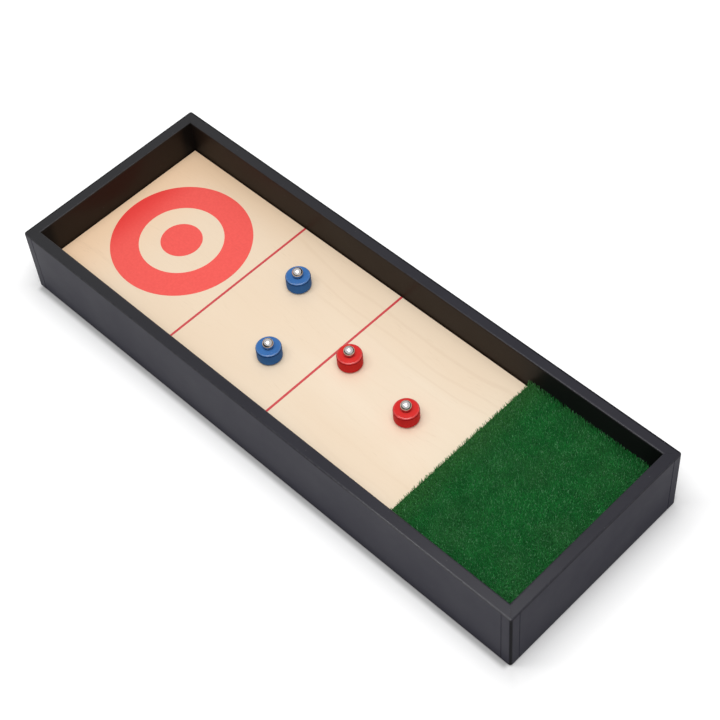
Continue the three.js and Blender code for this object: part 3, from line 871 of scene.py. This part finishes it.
def black_paint():
    """Satin black over sealed board: cloudy gloss, orange peel, polished edges, browner inside.

    Pattern and tone follow a rail's own marks. Outside, the tone is a little bluer below the top
    edge; worn edges are lighter, partly as a painted highlight, and where the coat mark is nought
    painted shade makes the paint near black. Inside, a painted reflection of the lane makes it brown
    up to the turf, and painted shade makes it nearly black in the corners.
    """
    material, tree, shader, where = finish("satin_black_paint")
    lie = mark(tree, "lie", "Vector")
    skin = use(tree, SPRAYED_SKIN, Vector=lie, Peel=620.0)
    grain = use(tree, WOOD_GRAIN, Vector=lie, Wander=0.4)
    edge = mark(tree, "wear")
    worn = use(tree, EDGE_WEAR, Edge=edge, Vector=lie, Break=160.0, Start=0.62)["Worn"]
    coat = mark(tree, "coat")
    section = axes(tree, lie)
    along = axes(tree, where)["X"]
    face = spread(tree, section["Z"], (TRAY_HEIGHT - 2.4) * MM, (TRAY_HEIGHT - 1.4) * MM, 0.9, 0.0)
    inside = spread(tree, section["Y"], (RAIL_THICKNESS - 0.8) * MM, (RAIL_THICKNESS - 0.1) * MM)
    # Painted reflection on the inner walls: brown where they face the lane, neutral dark where they face
    # the turf, and painted shade near black in the corners.
    inner_painted_reflection = layered(
        tree, (0.0228, 0.0147, 0.0098, 1),
        (spread(tree, along, 0.13, 0.17), (0.009, 0.009, 0.0095, 1)),
        (times(tree, mark(tree, "nook"), 0.8), (0.0042, 0.0044, 0.0046, 1)))
    tone = layered(
        tree, (0.0112, 0.0106, 0.0172, 1),
        (spread(tree, skin["Cloud"], 0.3, 0.7), (0.0152, 0.0146, 0.0218, 1)),
        (spread(tree, along, -0.3, 0.1, 0.8, 0.0), (0.0135, 0.0135, 0.0145, 1)),
        (face, (0.0122, 0.0112, 0.0245, 1)),
        # Worn edges are lighter, partly as real wear and partly as a painted highlight along the edges.
        (times(tree, worn, 0.55), (0.045, 0.044, 0.05, 1)),
        # Painted shade: near black where the coat mark is nought.
        (spread(tree, coat, 0.0, 0.05, 0.85, 0.0), (0.002, 0.002, 0.0025, 1)),
        (inside, inner_painted_reflection),
        (times(tree, skin["Dust"], 0.2), (0.3, 0.3, 0.3, 1)))
    rough = spread(tree, skin["Cloud"], 0.25, 0.75, 0.4, 0.5)
    rough = maths(tree, "SUBTRACT", rough, times(tree, worn, 0.12))
    height = maths(tree, "ADD", skin["Height"], times(tree, grain["Height"], 0.35))
    feed(tree, shader, Base_Color=tone, Roughness=rough, Specular_IOR_Level=0.04,
         Coat_Weight=coat, Coat_Roughness=0.22, Normal=bumped(tree, height, 0.2, 0.00005))
    return material


def birch():
    """Pale rotary-cut birch under clear satin lacquer, its sides and tongue stained dark.

    The tone is warmer towards the house end. Beside the house end rail it is warmer and darker, and
    darkest there beside the back rail, as painted shade. The dark stain on the sides and tongue
    also serves as painted shade in the gap beside the rails.
    """
    material, tree, shader, where = finish("lacquered_birch")
    grain = use(tree, WOOD_GRAIN, Vector=where, Wander=0.9)
    place = axes(tree, where)
    cloud = noise(tree, stretched(tree, where, (5, 11, 11)), 1.0, 3.0)
    # Painted shade: darker and warmer in the house end's corner beside the back rail.
    far = times(tree, spread(tree, place["X"], -0.28, -0.05, 0.8, 0.0),
                spread(tree, place["Y"], 0.05, 0.09))
    # A dark stain on the board's sides and tongue, which also serves as painted shade in the gap beside
    # the rails.
    stain_and_gap_shade = spread(tree, place["Z"], (LANE_TOP - 0.7) * MM, (LANE_TOP - 0.2) * MM, 0.95, 0.0)
    tone = layered(
        tree, (0.868, 0.734, 0.571, 1),
        (spread(tree, grain["Figure"], 0.3, 0.72), (0.836, 0.69, 0.522, 1)),
        (spread(tree, place["X"], -0.1, 0.06, 0.6, 0.0), (0.845, 0.66, 0.475, 1)),
        (spread(tree, cloud, 0.4, 0.7, 0.0, 0.55), (0.83, 0.655, 0.475, 1)),
        # Painted shade: warmer and darker beside the house end rail.
        (spread(tree, place["X"], -0.295, -0.2, 1.0, 0.0), (0.91, 0.645, 0.425, 1)),
        (far, (0.79, 0.565, 0.37, 1)),
        (spread(tree, grain["Streaks"], 0.52, 0.8, 0.0, 0.11), (0.7, 0.52, 0.34, 1)),
        (times(tree, grain["Lines"], 0.15), (0.6, 0.41, 0.26, 1)),
        (times(tree, grain["Pores"], 0.13), (0.5, 0.33, 0.19, 1)),
        (stain_and_gap_shade, (0.03, 0.022, 0.017, 1)))
    rough = spread(tree, grain["Streaks"], 0.3, 0.7, 0.36, 0.46)
    feed(tree, shader, Base_Color=tone, Roughness=rough, Specular_IOR_Level=0.4,
         Coat_Weight=0.25, Coat_Roughness=0.22, Normal=bumped(tree, grain["Height"], 0.2, 0.00005))
    return material


def raw_board():
    """Bare softwood and hardboard: brown fibres, coarse figure, matt."""
    material, tree, shader, where = finish("bare_board")
    grain = use(tree, WOOD_GRAIN, Vector=where, Wander=1.4)
    speck = noise(tree, where, 1300.0, 2.0, 0.7)
    tone = layered(
        tree, (0.44, 0.29, 0.15, 1),
        (grain["Figure"], (0.31, 0.185, 0.085, 1)),
        (spread(tree, speck, 0.5, 0.7, 0.0, 0.45), (0.2, 0.115, 0.05, 1)),
        (times(tree, grain["Pores"], 0.6), (0.13, 0.07, 0.03, 1)))
    height = maths(tree, "ADD", grain["Height"], speck)
    feed(tree, shader, Base_Color=tone, Roughness=spread(tree, speck, 0.3, 0.7, 0.7, 0.88),
         Specular_IOR_Level=0.3, Normal=bumped(tree, height, 0.5, 0.0001))
    return material


def felt():
    """Pressed dark wool: tangled fibres at two scales."""
    material, tree, shader, where = finish("pressed_felt")
    tangle = noise(tree, where, 2600.0, 3.0, 0.7, 2.5)
    clumps = noise(tree, where, 500.0, 3.0)
    tone = layered(
        tree, (0.012, 0.012, 0.014, 1),
        (spread(tree, tangle, 0.35, 0.7), (0.045, 0.045, 0.05, 1)),
        (spread(tree, clumps, 0.5, 0.75, 0.0, 0.4), (0.07, 0.07, 0.075, 1)))
    height = maths(tree, "ADD", tangle, clumps)
    feed(tree, shader, Base_Color=tone, Roughness=spread(tree, tangle, 0.3, 0.7, 0.86, 0.98),
         Sheen_Weight=0.35, Sheen_Roughness=0.5, Normal=bumped(tree, height, 0.8, 0.00025))
    return material


def latex():
    """The mat's dark rubbery backing, finely pitted."""
    material, tree, shader, where = finish("latex_backing")
    pits = put(tree, "ShaderNodeTexVoronoi", {"Vector": where, "Scale": 700.0}).outputs["Distance"]
    cloud = noise(tree, where, 60.0, 3.0)
    tone = blend(tree, cloud, (0.009, 0.02, 0.012, 1), (0.02, 0.036, 0.024, 1))
    feed(tree, shader, Base_Color=tone, Roughness=spread(tree, cloud, 0.3, 0.7, 0.62, 0.8),
         Normal=bumped(tree, pits, 0.5, 0.0002))
    return material


def turf():
    """Green fibres: each with its own tone, painted shade towards the foot, some with pale tips.

    The mat varies in broad patches and small clumps, and is more olive along its open edge.
    """
    material, tree, shader, where = finish("turf_fibre")
    own, up = mark(tree, "tone"), mark(tree, "up")
    patch = noise(tree, where, 24.0, 3.0)
    clump = noise(tree, where, 75.0, 2.0)
    pale = times(tree, spread(tree, own, 0.84, 0.9, 0.0, 0.62), spread(tree, up, 0.4, 0.9))
    tone = layered(
        tree, (0.011, 0.17, 0.032, 1),
        (own, (0.038, 0.365, 0.08, 1)),
        (spread(tree, patch, 0.38, 0.66, 0.0, 0.55), (0.055, 0.235, 0.068, 1)),
        (spread(tree, clump, 0.38, 0.62, 0.4, 0.0), (0.008, 0.125, 0.026, 1)),
        (spread(tree, axes(tree, where)["X"], 0.148, 0.176, 0.6, 0.0), (0.075, 0.24, 0.06, 1)),
        (pale, (0.25, 0.5, 0.29, 1)),
        # Painted shade: darker towards the foot of the pile.
        (spread(tree, up, 0.0, 0.7, 0.8, 0.0), (0.004, 0.05, 0.012, 1)))
    feed(tree, shader, Base_Color=tone, Roughness=spread(tree, own, 0.0, 1.0, 0.5, 0.75),
         Specular_IOR_Level=0.08)
    return material


def red_ink():
    """Screen-printed red: semi-gloss film that lets the grain's height through, thin in the pores.

    The lines carry the mark `dense` and are a deeper red than the house. Near the house end rail
    the red is deeper still as painted shade.
    """
    material, tree, shader, where = finish("printed_red")
    grain = use(tree, WOOD_GRAIN, Vector=where, Wander=0.9)
    cover = noise(tree, where, 420.0, 4.0, 0.6)
    tone = layered(
        tree, (0.87, 0.09, 0.075, 1),
        (spread(tree, cover, 0.3, 0.75), (0.92, 0.11, 0.09, 1)),
        # Painted shade: a deeper red near the house end rail.
        (spread(tree, axes(tree, where)["X"], -0.278, -0.243, 0.9, 0.0), (0.85, 0.05, 0.045, 1)),
        (mark(tree, "dense"), (0.6, 0.055, 0.065, 1)),
        (times(tree, grain["Figure"], 0.14), (0.68, 0.06, 0.05, 1)),
        (times(tree, grain["Pores"], 0.2), (0.55, 0.07, 0.05, 1)))
    feed(tree, shader, Base_Color=tone, Roughness=spread(tree, cover, 0.3, 0.7, 0.34, 0.44),
         Specular_IOR_Level=0.45, Normal=bumped(tree, grain["Height"], 0.15, 0.00004))
    return material


def lacquer(name, deep, full, edge, thin):
    """Lacquer on turned wood: painted shade below the top rim, thin on worn edges, soft waves in the
    skin.

    `rise` is the height over the stone's top in millimetres. The clear coat shows on the top face,
    and fully on the lip round it. `edge` is the colour of the painted shade on the sides and on the
    lower part of the top rim.
    """
    material, tree, shader, where = finish(name)
    skin = use(tree, SPRAYED_SKIN, Vector=where, Peel=360.0)
    rim = mark(tree, "wear")
    rise = maths(tree, "MULTIPLY_ADD", axes(tree, where)["Z"], PER_METRE, -(LANE_TOP + STONE_TOP))
    upward = spread(tree, rise, -1.5, -0.3, 0.0, 0.12)
    lip = times(tree, spread(tree, rim, 0.1, 0.6), spread(tree, rise, -1.1, -0.7))
    shine = maths(tree, "MAXIMUM", upward, lip)
    # Painted shade: mostly on the lower part of the top rim, a little on the sides.
    under = times(tree, spread(tree, rise, -2.6, -1.6, 0.15, 0.85),
                  spread(tree, rise, -0.8, -0.4, 1.0, 0.0))
    worn = use(tree, EDGE_WEAR, Edge=rim, Vector=where, Break=500.0, Start=0.5)["Worn"]
    tone = layered(
        tree, deep,
        (spread(tree, skin["Cloud"], 0.3, 0.7), full),
        (under, edge),
        (times(tree, worn, 0.12), thin))
    feed(tree, shader, Base_Color=tone, Roughness=spread(tree, skin["Cloud"], 0.25, 0.75, 0.3, 0.38),
         Specular_IOR_Level=0.01, Coat_Weight=shine, Coat_Roughness=0.05,
         Normal=bumped(tree, skin["Height"], 0.18, 0.00006))
    return material


def polished_steel():
    """Ball steel, polished and a little hazy, with hair-fine turning marks in its gloss."""
    material, tree, shader, where = finish("polished_steel")
    hair = noise(tree, stretched(tree, where, (900, 900, 5200)), 1.0, 2.0)
    haze = noise(tree, where, 240.0, 3.0)
    tone = blend(tree, haze, (0.46, 0.442, 0.44, 1), (0.55, 0.53, 0.525, 1))
    rough = maths(tree, "MULTIPLY_ADD", hair, 0.03, spread(tree, haze, 0.3, 0.7, 0.12, 0.16))
    feed(tree, shader, Base_Color=tone, Metallic=1.0, Roughness=rough)
    return material


def zinc_steel():
    """Zinc-plated steel: mottled grey, slightly rough."""
    material, tree, shader, where = finish("zinc_plated_steel")
    mottle = put(tree, "ShaderNodeTexVoronoi", {"Vector": where, "Scale": 900.0}).outputs["Distance"]
    cloud = noise(tree, where, 300.0, 3.0)
    tone = blend(tree, mottle, (0.42, 0.42, 0.44, 1), (0.27, 0.27, 0.29, 1))
    feed(tree, shader, Base_Color=tone, Metallic=1.0, Normal=bumped(tree, mottle, 0.1, 0.00004),
         Roughness=spread(tree, cloud, 0.3, 0.7, 0.28, 0.45))
    return material


def nylon():
    """Moulded natural nylon: milky, with a faint grained skin."""
    material, tree, shader, where = finish("moulded_nylon")
    skin = use(tree, SPRAYED_SKIN, Vector=where, Peel=1500.0)
    tone = blend(tree, skin["Cloud"], (0.74, 0.71, 0.64, 1), (0.82, 0.79, 0.73, 1))
    feed(tree, shader, Base_Color=tone, Roughness=spread(tree, skin["Height"], 0.3, 0.7, 0.42, 0.55),
         Subsurface_Weight=0.15, Normal=bumped(tree, skin["Height"], 0.2, 0.00005))
    return material


def dress(piece, body, slot, material, *nodes):
    """Gives a piece its finish, its body and the part's pieces it stands for."""
    piece.data.materials.append(material)
    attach(piece, body)
    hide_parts(*nodes)


WOOD_GRAIN = wood_grain_group()
SPRAYED_SKIN = sprayed_skin_group()
EDGE_WEAR = edge_wear_group()
BLACK_PAINT = black_paint()
BIRCH = birch()
RAW_BOARD = raw_board()
FELT = felt()
LATEX = latex()
TURF = turf()
RED_INK = red_ink()
# The third colour of each lacquer is its painted shade on the sides and the lower rim.
BLUE_LACQUER = lacquer("blue_lacquer", (0.04, 0.135, 0.37, 1), (0.052, 0.175, 0.45, 1),
                       (0.006, 0.035, 0.13, 1), (0.09, 0.24, 0.5, 1))
RED_LACQUER = lacquer("red_lacquer", (0.6, 0.024, 0.022, 1), (0.7, 0.034, 0.03, 1),
                      (0.36, 0.003, 0.006, 1), (0.78, 0.1, 0.09, 1))
POLISHED_STEEL = polished_steel()
ZINC_STEEL = zinc_steel()
NYLON = nylon()

CARRIED_OVER = {
    "lane_board": BIRCH,
    "lane_bearer": RAW_BOARD,
    "corner_spline": RAW_BOARD,
    "base_panel": RAW_BOARD,
    "turf_backing": LATEX,
}


def dress_carried_over():
    """Gives each of the part's own pieces that stays in view its finish."""
    for name, node in frame["nodes"].items():
        for start, material in CARRIED_OVER.items():
            if name.startswith(start):
                node.data.materials.clear()
                node.data.materials.append(material)


# Studio

def floor():
    """A wide white sheet under the tray; camera, mirror and glass rays get its last share of white.

    That share grows with the distance from the tray, until far out it makes up for the lamps' fall
    of light. Along the rails' feet a painted contact shadow darkens the sheet's own colour.
    """
    mesh = bpy.data.meshes.new("studio_floor")
    signs = ((-1, -1), (1, -1), (1, 1), (-1, 1))
    corners = [(x * FLOOR_REACH, y * FLOOR_REACH, FLOOR_LEVEL) for x, y in signs]
    mesh.from_pydata(corners, [], [(0, 1, 2, 3)])
    sheet = placed("studio_floor", mesh)
    material, tree, shader, where = finish("floor_paper")
    place = axes(tree, where)
    past_end = maths(tree, "SUBTRACT", maths(tree, "ABSOLUTE", place["X"]), TRAY_LENGTH / 2 * MM)
    past_side = maths(tree, "SUBTRACT", maths(tree, "ABSOLUTE", place["Y"]), TRAY_WIDTH / 2 * MM)
    fibre = noise(tree, where, 90.0, 4.0)
    # Painted contact shadow along the rails' feet.
    foot = times(tree, spread(tree, past_side, 0.0015, 0.0075, 0.55, 0.0),
                 spread(tree, past_end, -0.006, 0.0, 1.0, 0.0))
    tone = layered(
        tree, (0.79, 0.79, 0.795, 1),
        (fibre, (0.81, 0.81, 0.81, 1)),
        (foot, (0.0, 0.0, 0.0, 1)))
    feed(tree, shader, Base_Color=tone, Roughness=0.9, Specular_IOR_Level=0.1)
    distance = maths(tree, "MAXIMUM", past_end, past_side)
    away = maths(tree, "DIVIDE", distance, LIFT_REACH, clamp=True)
    lift = maths(tree, "MULTIPLY_ADD", maths(tree, "POWER", away, 0.7), *FLOOR_LIFT)
    lift = maths(tree, "ADD", lift, spread(tree, distance, 0.3, 2.5, 0.0, FAR_LIFT))
    glow = put(tree, "ShaderNodeEmission", {"Strength": times(tree, seen_directly(tree), lift)})
    both = put(tree, "ShaderNodeAddShader", {0: shader.outputs[0], 1: glow.outputs[0]})
    tree.links.new(both.outputs[0], tree.nodes["Material Output"].inputs["Surface"])
    mesh.materials.append(material)


def seen_directly(tree):
    """1 on camera, mirror and glass rays, else 0."""
    path = tree.nodes.new("ShaderNodeLightPath").outputs
    seen = maths(tree, "ADD", path["Is Camera Ray"], path["Is Glossy Ray"])
    return maths(tree, "ADD", seen, path["Is Transmission Ray"], clamp=True)


def world():
    """Even light from all round, and a plain white backdrop where it is seen."""
    made = bpy.data.worlds.new("studio")
    bpy.context.scene.world = made
    made.use_nodes = True
    tree = made.node_tree
    back = tree.nodes["Background"]
    back.inputs["Color"].default_value = (1, 1, 1, 1)
    level = spread(tree, seen_directly(tree), 0.0, 1.0, WORLD_LIGHT, 1.0)
    tree.links.new(level, back.inputs["Strength"])


def softbox(name, place, across, radiance):
    """A round lamp that faces the origin; its power is pi times area times radiance."""
    light = bpy.data.lights.new(name, "AREA")
    light.shape, light.size = "DISK", across
    light.energy = math.pi * (math.pi * across ** 2 / 4) * radiance
    lamp = placed(name, light)
    x, y, z = place
    lamp.location = place
    lamp.rotation_euler = (math.atan2(math.hypot(x, y), z), 0, math.atan2(-y, -x) - math.pi / 2)


def camera():
    """The photograph's view: a short telephoto from above the turf end's near side."""
    lens = bpy.data.cameras.new("camera")
    lens.sensor_width, lens.lens = 36.0, 86.17
    lens.clip_start, lens.clip_end = 0.05, 60
    made = placed("camera", lens)
    made.location = (0.71761, -0.59143, 1.25130)
    made.rotation_euler = [math.radians(a) for a in (37.2750, 3.5667, 44.4656)]
    bpy.context.scene.camera = made


RAILS = {
    "front_rail": (TRAY_LENGTH, TRAY_WIDTH / 2),
    "turf_end_rail": (TRAY_WIDTH, TRAY_LENGTH / 2),
    "back_rail": (TRAY_LENGTH, TRAY_WIDTH / 2),
    "house_end_rail": (TRAY_WIDTH, TRAY_LENGTH / 2),
}

for turns, (rail_name, (rail_length, rail_reach)) in enumerate(RAILS.items()):
    rail(rail_name, rail_length, rail_reach, turns)
printed_disc("house_ring_print", HOUSE_RADIUS, HOUSE_INNER_RADIUS)
printed_disc("house_button_print", BUTTON_RADIUS)
for number, line_x in enumerate(LINE_PLACES, 1):
    printed_line(f"cross_line_print_{number}", line_x)
for number in range(TURF_SLICES):
    turf_slice(number)
for number in range(1, SCREWS + 1):
    screw(number)
for number in range(1, PADS + 1):
    pad(number)
for stone_name, (stone_x, stone_y) in STONES.items():
    stone(stone_name, stone_x, stone_y)
dress_carried_over()

floor()
world()
softbox("overhead", (-0.05, 0.05, 1.6), 1.13, 2.9)
softbox("front", (0.6, -0.52, 2.0), 1.7, 3.1)
softbox("side", (-0.62, -0.85, 1.9), 0.5, 7.9)
camera()
bpy.context.scene.view_settings.view_transform = "Standard"
